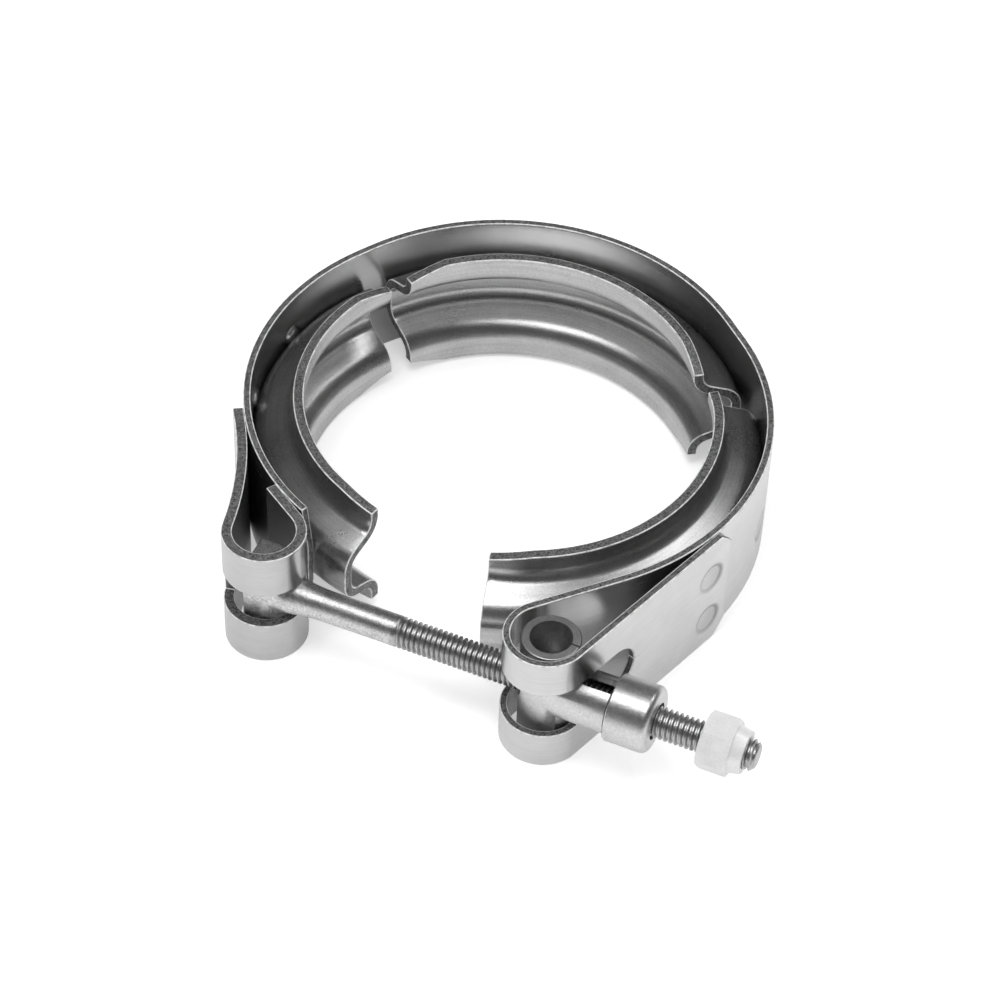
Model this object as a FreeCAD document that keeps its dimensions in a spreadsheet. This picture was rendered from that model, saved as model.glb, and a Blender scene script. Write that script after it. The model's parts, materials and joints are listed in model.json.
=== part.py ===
import FreeCAD, Part
import math
import os
import Sketcher

# V-band clamp, drawn relaxed and open. Millimetres and degrees.
# The origin is the axis of the rear arc of the band, on the clamp's middle plane: +Z runs along
# the pipe axis, +X along the bolt from its head to its tip, and the bolt lies on the -Y side.
# Angles are polar angles about the centre of the arc that they belong to, from +X towards +Y.

SIZES = (
    ("band_radius", 47.7, "outer radius of the band, all three arcs"),
    ("band_sheet", 1.4, "sheet of the band"),
    ("band_width", 27.0, "height of the band along the pipe axis"),
    ("right_joint_angle", 48.4, "where the rear arc passes into the right flat"),
    ("right_flat", 6.0, "straight stretch between the rear and right arcs"),
    ("left_joint_angle", 148.0, "where the rear arc passes into the left flat"),
    ("left_flat", 2.85, "straight stretch between the rear and left arcs"),
    ("left_end_angle", 247.7, "free end of the band"),
    ("left_end_cut", 1.5, "corner cut at the band's free end, along the strip"),
    ("left_end_cut_height", 9.0, "corner cut at the band's free end, across the strip"),
    ("bolt_offset", 6.5, "from the band's outside to the bolt axis"),
    ("loop_slack", 1.03, "inner radius of the folded loop beyond the trunnion barrel"),
    ("loop_stand_off", 2.97, "loop bend beyond a bend that would touch the arc"),
    ("trunnion_shift_along", 0.75, "trunnion axis off the loop bend's centre, along the bolt"),
    ("trunnion_shift_across", 0.3, "trunnion axis off the loop bend's centre, towards the ring"),
    ("loop_lap", 3.7, "angle over which the folded leg lies on the ring"),
    ("lap_gap", 0.1, "between the folded leg and the ring"),
    ("loop_corner", 3.2, "chamfered corners of the folded leg's end"),
    ("loop_slot_height", 11.0, "slot through the loop"),
    ("loop_slot_reach", 15.6, "slot along the outer leg, from the bend to its round end"),
    ("loop_slot_back", 3.0, "slot along the inner leg, from the bend to its round end"),
    ("strap_sheet", 2.0, "sheet of the T-bolt strap"),
    ("strap_slack", 1.6, "inner radius of the strap's bend beyond the bolt head's nose"),
    ("strap_stand_off", 0.56, "strap bend beyond a bend that would touch the arc"),
    ("head_shift_along", 1.25, "bolt head's axis off the strap bend's centre, along the bolt"),
    ("head_shift_across", 0.9, "bolt head's axis off the strap bend's centre, away from the ring"),
    ("strap_end_angle", 209.0, "free end of the strap on the ring"),
    ("strap_leave_angle", 213.5, "where the strap leaves the ring"),
    ("strap_short_lap", 1.2, "angle over which the strap's short leg lies on the ring"),
    ("strap_end_cut", 4.5, "sloped corner at the strap's free end, along the strip"),
    ("strap_end_cut_height", 1.2, "sloped corner at the strap's free end, across the strip"),
    ("strap_slot_height", 8.1, "slot through the strap's bend"),
    ("strap_slot_start", 186.0, "slot of the strap, start about the bend"),
    ("strap_slot_end", 400.0, "slot of the strap, end about the bend"),
    ("retainer_sheet", 2.0, "sheet of the retainers"),
    ("retainer_height", 25.6, "height of the retainers"),
    ("groove_depth", 8.0, "from the middle of the lip to the middle of the crown"),
    ("groove_corner", 7.3, "height of the corner between lip and cone above the middle plane"),
    ("groove_angle", 20.0, "each side of the V groove against the middle plane"),
    ("retainer_bend", 1.0, "inside radius of the retainer's bends"),
    ("rear_start", 34.0, "rear retainer, right end"),
    ("rear_end", 145.0, "rear retainer, left end"),
    ("left_start", 147.5, "left retainer, rear end"),
    ("left_end", 257.5, "left retainer, front end"),
    ("right_start", -75.5, "right retainer, front end"),
    ("right_end", 34.5, "right retainer, rear end"),
    ("lip_taper", 2.0, "how much the lips drop at a rear end"),
    ("lip_taper_front", 1.2, "how much the lips drop at a front end"),
    ("lip_taper_length", 8.0, "length of the drop along the lip"),
    ("head_width", 8.4, "bolt head across the bolt, and the diameter of its nose"),
    ("head_back", 3.45, "from the head's axis to its flat back"),
    ("head_height", 15.0, "bolt head along the pipe axis"),
    ("shank_diameter", 5.9, "shank and outer diameter of the M6 thread"),
    ("neck_diameter", 7.8, "neck where the shank joins the head"),
    ("neck_length", 11.0, "from the head's axis to the end of the tapering neck"),
    ("bolt_length", 95.95, "from the head's axis to the tip"),
    ("tip_chamfer", 0.8, "chamfer at the bolt's tip"),
    ("barrel_diameter", 10.94, "trunnion barrel, outside"),
    ("barrel_bore", 7.8, "trunnion barrel, inside"),
    ("barrel_height", 25.2, "trunnion barrel along the pipe axis"),
    ("sleeve_diameter", 10.5, "trunnion sleeve, outside"),
    ("sleeve_bore", 7.3, "trunnion sleeve, inside"),
    ("sleeve_length", 12.75, "from the barrel axis to the collar"),
    ("sleeve_slot", 3.4, "open slot along the sleeve"),
    ("collar_diameter", 12.65, "collar at the end of the sleeve"),
    ("collar_length", 8.2, "length of the collar"),
    ("collar_bore", 7.0, "hole through the collar"),
    ("collar_rim", 0.9, "bevelled outer rim of the collar"),
    ("entry_bore", 7.6, "hole where the bolt enters the barrel"),
    ("saw_cut", 0.3, "seam of the barrel and slit beside the collar"),
    ("slit_depth", 4.0, "slit beside the collar, across the sleeve"),
    ("nut_flats", 10.0, "nut across flats"),
    ("nut_hex_length", 5.7, "length of the nut's hexagon"),
    ("nut_length", 8.0, "whole length of the nut"),
    ("nut_collar_diameter", 9.0, "crimped collar of the nut"),
    ("nut_tip_diameter", 8.0, "crimped collar at its end"),
    ("nut_clearance", 0.05, "nut bore beyond the bolt's radius"),
    ("nut_gap", 9.1, "from the trunnion's collar to the nut"),
)


def make_sheet(doc):
    """Writes the driving dimensions into the spreadsheet, one row each."""
    sheet = doc.addObject("Spreadsheet::Sheet", "Sizes")
    for row, (alias, value, note) in enumerate(SIZES, start=1):
        sheet.set(f"A{row}", note)
        sheet.set(f"B{row}", str(value))
        sheet.setAlias(f"B{row}", alias)
    doc.recompute()
    return sheet


DOC = FreeCAD.newDocument("VBandClamp")
SHEET = make_sheet(DOC)


class Size:
    """A number plus shares of the sheet's cells: its value, and the expression that binds it."""

    def __init__(self, number=0.0, **shares):
        self.number = number
        self.shares = shares

    def __add__(self, other):
        shares = dict(self.shares)
        for alias, share in other.shares.items():
            shares[alias] = shares.get(alias, 0.0) + share
        return Size(self.number + other.number, **shares)

    def __mul__(self, factor):
        shares = {alias: share * factor for alias, share in self.shares.items()}
        return Size(self.number * factor, **shares)

    def __sub__(self, other):
        return self + other * -1.0

    @property
    def value(self):
        return self.number + sum(cell(alias) * share for alias, share in self.shares.items())

    @property
    def text(self):
        terms = [f"Sizes.{alias} * ({share})" for alias, share in self.shares.items()]
        return " + ".join([str(self.number)] + terms)


def cell(alias):
    """The number in one cell of the sheet."""
    return float(SHEET.get(alias))


def polar(centre, radius, angle):
    """The point at a radius and a polar angle about a centre."""
    turn = math.radians(angle)
    return (centre[0] + radius * math.cos(turn), centre[1] + radius * math.sin(turn))


def bearing(start, end):
    """Distance and polar angle from one point to another."""
    angle = math.degrees(math.atan2(end[1] - start[1], end[0] - start[0]))
    return math.dist(start, end), angle


# ---------------------------------------------------------------- sketches


def origin_feature(body, role):
    """One of the body's own planes or axes."""
    return [item for item in body.Origin.OriginFeatures if item.Role == role][0]


def new_sketch(body, plane, name, place=None):
    """A sketch on one of the body's own planes, moved off it by place where that is given."""
    sketch = body.newObject("Sketcher::SketchObject", name)
    sketch.AttachmentSupport = [(origin_feature(body, plane), "")]
    sketch.MapMode = "FlatFace"
    if place is not None:
        sketch.AttachmentOffset = place
    return sketch


def upright_plane(point, facing):
    """Offset from the XZ plane to an upright plane through a point, facing a polar angle.

    In the sketch x runs along the facing angle plus 90 degrees, and y runs up.
    """
    turn = FreeCAD.Rotation(FreeCAD.Vector(0, 1, 0), facing + 90.0)
    return FreeCAD.Placement(FreeCAD.Vector(point[0], 0.0, -point[1]), turn)


def hold_radius(sketch, edge, radius):
    """Holds the radius of one arc or circle to the sheet."""
    place = sketch.addConstraint(Sketcher.Constraint("Radius", edge, radius.value))
    sketch.renameConstraint(place, f"radius_{edge}")
    sketch.setExpression(f"Constraints.radius_{edge}", radius.text)


def draw_circle(sketch, centre, radius):
    circle = Part.Circle(FreeCAD.Vector(*centre, 0.0), FreeCAD.Vector(0, 0, 1), radius.value)
    hold_radius(sketch, sketch.addGeometry(circle, False), radius)


def draw_outline(sketch, stations):
    """A closed outline through arcs and corners in order, with straight lines in between.

    A station is (centre, radius, start angle, end angle), turning either way. One whose two
    angles are equal is a plain corner.
    """
    edges = []
    for index, (centre, radius, start, end) in enumerate(stations):
        before = stations[index - 1]
        here = polar(centre, radius.value, start)
        there = polar(before[0], before[1].value, before[3])
        if math.dist(there, here) > 1e-6:
            ends = [FreeCAD.Vector(*there, 0.0), FreeCAD.Vector(*here, 0.0)]
            edges.append((Part.LineSegment(*ends), False, None))
        if start != end:
            circle = Part.Circle(FreeCAD.Vector(*centre, 0.0), FreeCAD.Vector(0, 0, 1), radius.value)
            low = math.radians(min(start, end)) % math.tau
            arc = Part.ArcOfCircle(circle, low, low + math.radians(abs(end - start)))
            edges.append((arc, end < start, radius))
    first = len(sketch.Geometry)
    sketch.addGeometry([edge for edge, _, _ in edges], False)
    for index, (_, backwards, radius) in enumerate(edges):
        after = (index + 1) % len(edges)
        leaves = 1 if backwards else 2
        meets = 2 if edges[after][1] else 1
        joint = Sketcher.Constraint("Coincident", first + index, leaves, first + after, meets)
        sketch.addConstraint(joint)
        if radius is not None:
            hold_radius(sketch, first + index, radius)


def corner(x, y):
    """A station that is a plain corner."""
    return ((x, y), Size(), 0.0, 0.0)


def bend_line(centre, radius, start, end, outside, pressed):
    """The stations of one side of a bend: an arc, or where it is pressed its plain corners.

    The inside of a pressed bend is one sharp corner and the outside is one flat, so that a
    profile turned about an axis has no face that curves both ways.
    """
    if start == end or not pressed:
        return [(centre, radius, start, end)]
    if outside:
        return [(centre, radius, start, start), (centre, radius, end, end)]
    middle = (start + end) / 2.0
    return [(centre, radius * (1.0 / math.cos(math.radians(end - middle))), middle, middle)]


def draw_strip(sketch, bends, sheet, pressed=False):
    """The section of a bent sheet whose middle line runs through the bends, straight in between.

    A bend is (centre, radius of the middle line, start angle, end angle). A plain end has no
    radius, and its two equal angles are the direction to the left of the way along the strip.
    """
    left = []
    right = []
    for centre, middle, start, end in bends:
        turn = 1 if end > start else -1
        shift = sheet * (0.5 * turn)
        left.extend(bend_line(centre, middle - shift, start, end, turn < 0, pressed))
        right[:0] = bend_line(centre, middle + shift, end, start, turn > 0, pressed)
    draw_outline(sketch, left + right)


# ---------------------------------------------------------------- bodies and features


def new_body(label, place=None):
    body = DOC.addObject("PartDesign::Body", label)
    body.Label = label
    if place is not None:
        body.Placement = place
    return body


def pad(body, sketch, length, name, symmetric=True):
    feature = body.newObject("PartDesign::Pad", name)
    feature.Profile = sketch
    feature.SideType = "Symmetric" if symmetric else "One side"
    feature.setExpression("Length", length.text)
    DOC.recompute()
    return feature


def must_cut(body, feature, before):
    """Recomputes and makes sure that a cut took something away."""
    DOC.recompute()
    if not body.Shape.Volume < before - 1e-3:
        raise RuntimeError(f"{feature.Name} of {body.Label} cuts nothing")


def pocket(body, sketch, length, name, symmetric=False):
    """Cuts a sketch into the body, away from the side that it faces or to both sides."""
    before = body.Shape.Volume
    feature = body.newObject("PartDesign::Pocket", name)
    feature.Profile = sketch
    feature.SideType = "Symmetric" if symmetric else "One side"
    feature.setExpression("Length", length.text)
    must_cut(body, feature, before)


def revolve(body, sketch, axis, name, angle=None):
    """Turns a sketch about an axis of the body: all the way, or an angle with it in the middle."""
    feature = body.newObject("PartDesign::Revolution", name)
    feature.Profile = sketch
    feature.ReferenceAxis = (origin_feature(body, axis), [""])
    feature.Angle = 360.0
    if angle is not None:
        feature.Midplane = True
        feature.setExpression("Angle", angle.text)
    DOC.recompute()


def groove(body, sketch, axis, name):
    """Cuts a sketch away all round an axis of the body."""
    before = body.Shape.Volume
    feature = body.newObject("PartDesign::Groove", name)
    feature.Profile = sketch
    feature.ReferenceAxis = (origin_feature(body, axis), [""])
    feature.Angle = 360.0
    must_cut(body, feature, before)


def chamfer(body, points, size, name):
    """Chamfers the edges whose middles lie nearest to the given points."""
    base = body.Tip
    names = []
    for point in points:
        target = FreeCAD.Vector(*point)
        gaps = [(edge.CenterOfMass - target).Length for edge in base.Shape.Edges]
        names.append(f"Edge{gaps.index(min(gaps)) + 1}")
    feature = body.newObject("PartDesign::Chamfer", name)
    feature.Base = (base, names)
    feature.setExpression("Size", size.text)
    DOC.recompute()


def corner_cuts(body, place, along, high, half_height, depth, name, way=1):
    """Cuts both corners off the end of an upright strip that comes from the sketch's -x side."""
    sketch = new_sketch(body, "XZ_Plane", f"{name}Sketch", place)
    spare = depth.value
    for side in (1, -1):
        top = side * (half_height + spare)
        points = [(-along, top), (-along, side * half_height), (0.0, side * (half_height - high)),
                  (spare, side * (half_height - high)), (spare, top)]
        draw_outline(sketch, [corner(way * x, y) for x, y in points])
    pocket(body, sketch, depth, name, symmetric=True)


# ---------------------------------------------------------------- where the pieces lie

BAND_MIDDLE = Size(band_radius=1, band_sheet=-0.5)
HALF_WIDTH = cell("band_width") / 2.0
# A cut through a leg starts half a sheet outside it, and is this many sheets deep.
THROUGH_LEG = 2.2
# A cut across the end of a strip has its middle in the sheet, and is this many sheets deep.
THROUGH_END = 3.0
REAR = (0.0, 0.0)
RIGHT = polar(REAR, cell("right_flat"), cell("right_joint_angle") - 90.0)
LEFT = polar(REAR, cell("left_flat"), cell("left_joint_angle") + 90.0)
BOLT_Y = -(cell("band_radius") + cell("bolt_offset"))

LOOP_INSIDE = Size(barrel_diameter=0.5, loop_slack=1)
LOOP_MIDDLE = LOOP_INSIDE + Size(band_sheet=0.5)
LEG_ON_RING = Size(band_radius=1, lap_gap=1, band_sheet=0.5)
STRAP_INSIDE = Size(head_width=0.5, strap_slack=1)
STRAP_MIDDLE = STRAP_INSIDE + Size(strap_sheet=0.5)
STRAP_ON_RING = Size(band_radius=1, strap_sheet=0.5)
LOOP_REACH = BAND_MIDDLE + LOOP_MIDDLE + Size(loop_stand_off=1)
STRAP_REACH = STRAP_ON_RING + STRAP_MIDDLE + Size(strap_stand_off=1)


def bend_centre(arc_centre, reach, across, side):
    """A bend's centre: at a reach from an arc's centre, on a line parallel to the bolt."""
    return (arc_centre[0] + side * math.sqrt(reach ** 2 - (across - arc_centre[1]) ** 2), across)


LOOP_BEND = bend_centre(RIGHT, LOOP_REACH.value, BOLT_Y - cell("trunnion_shift_across"), 1)
STRAP_BEND = bend_centre(LEFT, STRAP_REACH.value, BOLT_Y + cell("head_shift_across"), -1)
TRUNNION_X = LOOP_BEND[0] + cell("trunnion_shift_along")
HEAD_X = STRAP_BEND[0] + cell("head_shift_along")
NUT_X = TRUNNION_X + cell("sleeve_length") + cell("collar_length") + cell("nut_gap")


# ---------------------------------------------------------------- the band with its folded loop


def make_band():
    """One strip: left end, left arc, rear arc, right arc, then folded back round the trunnion."""
    body = new_body("outer_band")
    reach, angle = bearing(RIGHT, LOOP_BEND)
    leave = angle + math.degrees(math.acos((BAND_MIDDLE + LOOP_MIDDLE).value / reach))
    land = angle + math.degrees(math.acos((LEG_ON_RING - LOOP_MIDDLE).value / reach))
    lap_end = land + cell("loop_lap")
    free_end = cell("left_end_angle")
    bends = [
        (LEFT, BAND_MIDDLE, free_end, cell("left_joint_angle")),
        (REAR, BAND_MIDDLE, cell("left_joint_angle"), cell("right_joint_angle")),
        (RIGHT, BAND_MIDDLE, cell("right_joint_angle"), leave),
        (LOOP_BEND, LOOP_MIDDLE, leave + 180.0, land + 360.0),
        (RIGHT, LEG_ON_RING, land, lap_end),
    ]
    sketch = new_sketch(body, "XY_Plane", "BandStrip")
    draw_strip(sketch, bends, Size(band_sheet=1))
    pad(body, sketch, Size(band_width=1), "BandPad")
    cut_loop_slot(body, leave + 180.0, land)
    place = upright_plane(polar(LEFT, BAND_MIDDLE.value, free_end), free_end)
    cuts = (cell("left_end_cut"), cell("left_end_cut_height"))
    corner_cuts(body, place, *cuts, HALF_WIDTH, Size(band_sheet=THROUGH_END), "BandEndCut")
    tip = polar(RIGHT, LEG_ON_RING.value, lap_end)
    chamfer(body, [(*tip, HALF_WIDTH), (*tip, -HALF_WIDTH)], Size(loop_corner=1), "LoopCorners")


def cut_loop_slot(body, inner_angle, outer_angle):
    """The slot for the bolt and the sleeve: round the bend, with a round end in each leg."""
    height = Size(loop_slot_height=1)
    inside = LOOP_INSIDE - Size(band_sheet=0.5)
    outside = LOOP_MIDDLE + Size(band_sheet=1)
    sketch = new_sketch(body, "XY_Plane", "BendSlotSketch")
    start, end = inner_angle, outer_angle + 360.0
    ring = [(LOOP_BEND, outside, start, end), (LOOP_BEND, inside, end, start)]
    draw_outline(sketch, ring)
    pocket(body, sketch, height, "BendSlot", symmetric=True)
    half = height.value / 2.0
    for name, facing, run, way in (("OuterLegSlot", outer_angle, "loop_slot_reach", 1),
                                   ("InnerLegSlot", inner_angle, "loop_slot_back", -1)):
        place = upright_plane(polar(LOOP_BEND, outside.value, facing), facing)
        sketch = new_sketch(body, "XZ_Plane", f"{name}Sketch", place)
        draw_circle(sketch, (way * (cell(run) - half), 0.0), height * 0.5)
        pocket(body, sketch, Size(band_sheet=THROUGH_LEG), name)
    sketch = new_sketch(body, "XZ_Plane", "LegSlotSketch",
                        upright_plane(polar(LOOP_BEND, outside.value, outer_angle), outer_angle))
    far = cell("loop_slot_reach") - half
    draw_outline(sketch, [corner(0.0, -half), corner(far, -half), corner(far, half), corner(0.0, half)])
    pocket(body, sketch, Size(band_sheet=THROUGH_LEG), "LegSlot")


# ---------------------------------------------------------------- the strap round the bolt head


def make_strap():
    """A strip of its own: lies on the ring, swings out round the bolt head and comes back."""
    body = new_body("t_bolt_loop")
    reach, angle = bearing(LEFT, STRAP_BEND)
    ring = STRAP_ON_RING.value
    bend = STRAP_MIDDLE.value
    leave = cell("strap_leave_angle")
    along = reach * math.cos(math.radians(angle - leave))
    swing = (bend ** 2 - ring ** 2 + 2.0 * ring * along - reach ** 2) / (2.0 * (ring - along - bend))
    swing_centre = polar(LEFT, ring + swing, leave)
    meet = bearing(STRAP_BEND, swing_centre)[1] % 360.0
    back = angle % 360.0 - math.degrees(math.acos((ring + bend) / reach))
    free_end = cell("strap_end_angle")
    bends = [
        (LEFT, STRAP_ON_RING, free_end, leave),
        (swing_centre, Size(swing), leave + 180.0, meet + 180.0),
        (STRAP_BEND, STRAP_MIDDLE, meet, back + 180.0),
        (LEFT, STRAP_ON_RING, back, back - cell("strap_short_lap")),
    ]
    sketch = new_sketch(body, "XY_Plane", "StrapStrip")
    draw_strip(sketch, bends, Size(strap_sheet=1))
    pad(body, sketch, Size(band_width=1), "StrapPad")
    inside = STRAP_INSIDE - Size(strap_sheet=0.5)
    outside = STRAP_MIDDLE + Size(strap_sheet=1)
    start, end = cell("strap_slot_start"), cell("strap_slot_end")
    sketch = new_sketch(body, "XY_Plane", "StrapSlotSketch")
    draw_outline(sketch, [(STRAP_BEND, outside, start, end), (STRAP_BEND, inside, end, start)])
    pocket(body, sketch, Size(strap_slot_height=1), "StrapSlot", symmetric=True)
    place = upright_plane(polar(LEFT, ring, free_end), free_end)
    cuts = (cell("strap_end_cut"), cell("strap_end_cut_height"))
    corner_cuts(body, place, *cuts, HALF_WIDTH, Size(strap_sheet=THROUGH_END), "StrapEndCut", way=-1)


# ---------------------------------------------------------------- the V retainers


def make_retainer(label, centre, start, end, tapers):
    """A V segment: lip, cone, crown against the band, cone and lip, turned about the arc's axis."""
    sheet = Size(retainer_sheet=1)
    crown = Size(band_radius=1, band_sheet=-1, retainer_sheet=-0.5)
    lip = (crown - Size(groove_depth=1)).value
    bend = Size(retainer_bend=1, retainer_sheet=0.5)
    slope = cell("groove_angle")
    reach = bend.value * math.tan(math.radians((90.0 - slope) / 2.0))
    high = cell("groove_corner") + reach
    low = cell("groove_corner") - cell("groove_depth") * math.tan(math.radians(slope)) - reach
    half = cell("retainer_height") / 2.0
    inner = lip + bend.value
    outer = crown.value - bend.value
    bends = [
        ((lip, half), Size(), 0.0, 0.0),
        ((inner, high), bend, 180.0, 270.0 - slope),
        ((outer, low), bend, 90.0 - slope, 0.0),
        ((outer, -low), bend, 0.0, slope - 90.0),
        ((inner, -high), bend, 90.0 + slope, 180.0),
        ((lip, -half), Size(), 0.0, 0.0),
    ]
    span = Size(**{end: 1, start: -1})
    middle = (cell(start) + cell(end)) / 2.0
    turn = FreeCAD.Rotation(FreeCAD.Vector(0, 0, 1), middle)
    body = new_body(label, FreeCAD.Placement(FreeCAD.Vector(*centre, 0.0), turn))
    sketch = new_sketch(body, "XZ_Plane", f"{label}_profile")
    draw_strip(sketch, bends, sheet, pressed=True)
    revolve(body, sketch, "Z_Axis", f"{label}_turn", span)
    for way, taper in zip((-1, 1), tapers):
        edge = way * span.value / 2.0
        place = upright_plane(polar((0.0, 0.0), lip, edge), edge)
        cuts = (cell("lip_taper_length"), cell(taper))
        name = f"{label}_taper_{'start' if way < 0 else 'end'}"
        corner_cuts(body, place, *cuts, half, sheet * THROUGH_END, name, way=way)


# ---------------------------------------------------------------- the T-bolt


def make_bolt():
    """A D-shaped head across the strap's bend, a tapering neck and a long threaded shank."""
    body = new_body("t_bolt", FreeCAD.Placement(FreeCAD.Vector(HEAD_X, BOLT_Y, 0), FreeCAD.Rotation()))
    nose = Size(head_width=0.5)
    back = -cell("head_back")
    sketch = new_sketch(body, "XY_Plane", "HeadSketch")
    points = [corner(back, nose.value), corner(back, -nose.value)]
    draw_outline(sketch, points + [((0.0, 0.0), nose, -90.0, 90.0)])
    pad(body, sketch, Size(head_height=1), "HeadPad")
    shank = cell("shank_diameter") / 2.0
    neck = cell("neck_diameter") / 2.0
    flare_end = cell("neck_length")
    tip = cell("bolt_length")
    point = cell("tip_chamfer")
    sketch = new_sketch(body, "XZ_Plane", "ShankSketch")
    draw_outline(sketch, [
        corner(0.0, 0.0), corner(tip, 0.0), corner(tip, shank - point), corner(tip - point, shank),
        corner(flare_end, shank), corner(nose.value, neck), corner(0.0, neck),
    ])
    revolve(body, sketch, "X_Axis", "Shank")


# ---------------------------------------------------------------- the trunnion

ALONG_BOLT = FreeCAD.Rotation(FreeCAD.Vector(0, 1, 0), 90.0)


def solid(kind, name, place=(0.0, 0.0, 0.0), turn=None, **sizes):
    """A primitive solid with its sizes bound to the sheet, at a place from the trunnion's axis."""
    item = DOC.addObject(f"Part::{kind}", name)
    for prop, size in sizes.items():
        item.setExpression(prop, size.text)
    item.Placement = FreeCAD.Placement(FreeCAD.Vector(*place), turn or FreeCAD.Rotation())
    return item


def joined(kind, name, items):
    """The sum of several solids."""
    item = DOC.addObject(f"Part::{kind}", name)
    item.Shapes = items
    return item


def make_trunnion():
    """A rolled cross barrel with a slotted sleeve and a collar that the bolt passes through."""
    barrel = Size(barrel_diameter=0.5)
    high = Size(barrel_height=1)
    sleeve = Size(sleeve_diameter=0.5)
    step = Size(sleeve_length=1)
    collar = Size(collar_diameter=0.5)
    past = Size(collar_length=1)
    slot = Size(sleeve_slot=1)
    seam = Size(saw_cut=1)
    rim = Size(collar_rim=1)
    rim_x = (step + past - rim).value
    blank = joined("MultiFuse", "TrunnionBlank", [
        solid("Cylinder", "Barrel", (0.0, 0.0, -high.value / 2.0), Radius=barrel, Height=high),
        solid("Cylinder", "Sleeve", (0.0, 0.0, 0.0), ALONG_BOLT, Radius=sleeve, Height=step),
        solid("Cylinder", "Collar", (step.value, 0.0, 0.0), ALONG_BOLT, Radius=collar,
              Height=past - rim),
        solid("Cone", "CollarRim", (rim_x, 0.0, 0.0), ALONG_BOLT, Radius1=collar,
              Radius2=collar - rim, Height=rim),
    ])
    seam_height = high * 0.5 - sleeve
    cuts = joined("MultiFuse", "TrunnionCuts", [
        solid("Cylinder", "BarrelBore", (0.0, 0.0, -high.value), Radius=Size(barrel_bore=0.5),
              Height=high * 2),
        solid("Cylinder", "SleeveBore", (0.0, 0.0, 0.0), ALONG_BOLT, Radius=Size(sleeve_bore=0.5),
              Height=step),
        solid("Cylinder", "CollarBore", (0.0, 0.0, 0.0), ALONG_BOLT, Radius=Size(collar_bore=0.5),
              Height=step + past * 2),
        solid("Cylinder", "EntryBore", (-2.0 * barrel.value, 0.0, 0.0), ALONG_BOLT,
              Radius=Size(entry_bore=0.5), Height=barrel * 2),
        solid("Box", "SleeveSlot", (barrel.value, -slot.value / 2.0, 0.0), Width=slot,
              Length=step - barrel, Height=sleeve * 2),
        solid("Box", "Slit", (step.value - seam.value, -slot.value / 2.0 - cell("slit_depth"), 0.0),
              Width=Size(slit_depth=1), Length=seam, Height=sleeve * 2),
        solid("Box", "SeamTop", (0.0, -seam.value / 2.0, sleeve.value), Width=seam,
              Length=barrel * 2, Height=seam_height * 2),
        solid("Box", "SeamBottom", (0.0, -seam.value / 2.0, -high.value), Width=seam,
              Length=barrel * 2, Height=high - sleeve),
    ])
    trunnion = DOC.addObject("Part::Cut", "trunnion")
    trunnion.Label = "trunnion"
    trunnion.Base = blank
    trunnion.Tool = cuts
    trunnion.Placement = FreeCAD.Placement(FreeCAD.Vector(TRUNNION_X, BOLT_Y, 0), FreeCAD.Rotation())
    return trunnion


# ---------------------------------------------------------------- the lock nut


def make_nut():
    """A hexagon with chamfered corners, and the crimped collar that locks it on the thread."""
    body = new_body("lock_nut", FreeCAD.Placement(FreeCAD.Vector(NUT_X, BOLT_Y, 0), FreeCAD.Rotation()))
    flats = cell("nut_flats") / 2.0
    corners = flats / math.cos(math.radians(30.0))
    hexagon = cell("nut_hex_length")
    length = cell("nut_length")
    sketch = new_sketch(body, "YZ_Plane", "HexagonSketch")
    draw_outline(sketch, [corner(*polar((0.0, 0.0), corners, 60.0 * side)) for side in range(6)])
    pad(body, sketch, Size(nut_hex_length=1), "Hexagon", symmetric=False)
    slope = math.tan(math.radians(30.0))
    sketch = new_sketch(body, "XZ_Plane", "CornerSketch")
    for face, way in ((0.0, 1), (hexagon, -1)):
        points = [(-slope * flats, 0.0), (slope * flats, flats * 2.0), (-slope * flats, flats * 2.0)]
        draw_outline(sketch, [corner(face + way * x, y) for x, y in points])
    groove(body, sketch, "X_Axis", "Corners")
    wide = cell("nut_collar_diameter") / 2.0
    narrow = cell("nut_tip_diameter") / 2.0
    sketch = new_sketch(body, "XZ_Plane", "CollarSketch")
    points = [(hexagon / 2.0, 0.0), (length, 0.0), (length, narrow), (hexagon, wide),
              (hexagon / 2.0, wide)]
    draw_outline(sketch, [corner(x, y) for x, y in points])
    revolve(body, sketch, "X_Axis", "NutCollar")
    bore = (Size(shank_diameter=0.5, nut_clearance=1)).value
    lead = (flats - bore) / 4.0
    sketch = new_sketch(body, "XZ_Plane", "NutBoreSketch")
    points = [(-lead, 0.0), (length + lead, 0.0), (length + lead, bore), (lead, bore),
              (-lead, bore + lead * 2)]
    draw_outline(sketch, [corner(x, y) for x, y in points])
    groove(body, sketch, "X_Axis", "NutBore")


# ---------------------------------------------------------------- build, check and write

make_band()
make_strap()
make_retainer("retainer_rear", REAR, "rear_start", "rear_end", ("lip_taper", "lip_taper"))
make_retainer("retainer_left", LEFT, "left_start", "left_end", ("lip_taper", "lip_taper_front"))
make_retainer("retainer_right", RIGHT, "right_start", "right_end",
              ("lip_taper_front", "lip_taper_front"))
make_bolt()
TRUNNION = make_trunnion()
make_nut()
DOC.recompute()

BODIES = [item for item in DOC.Objects if item.TypeId == "PartDesign::Body"] + [TRUNNION]
for item in DOC.Objects:
    if "Invalid" in item.State or "Error" in item.State:
        raise RuntimeError(f"{item.Name} failed: {item.State}")
for item in BODIES:
    if item.Shape.isNull() or not item.Shape.isValid() or len(item.Shape.Solids) != 1:
        raise RuntimeError(f"{item.Label} is not one valid solid")

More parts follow.
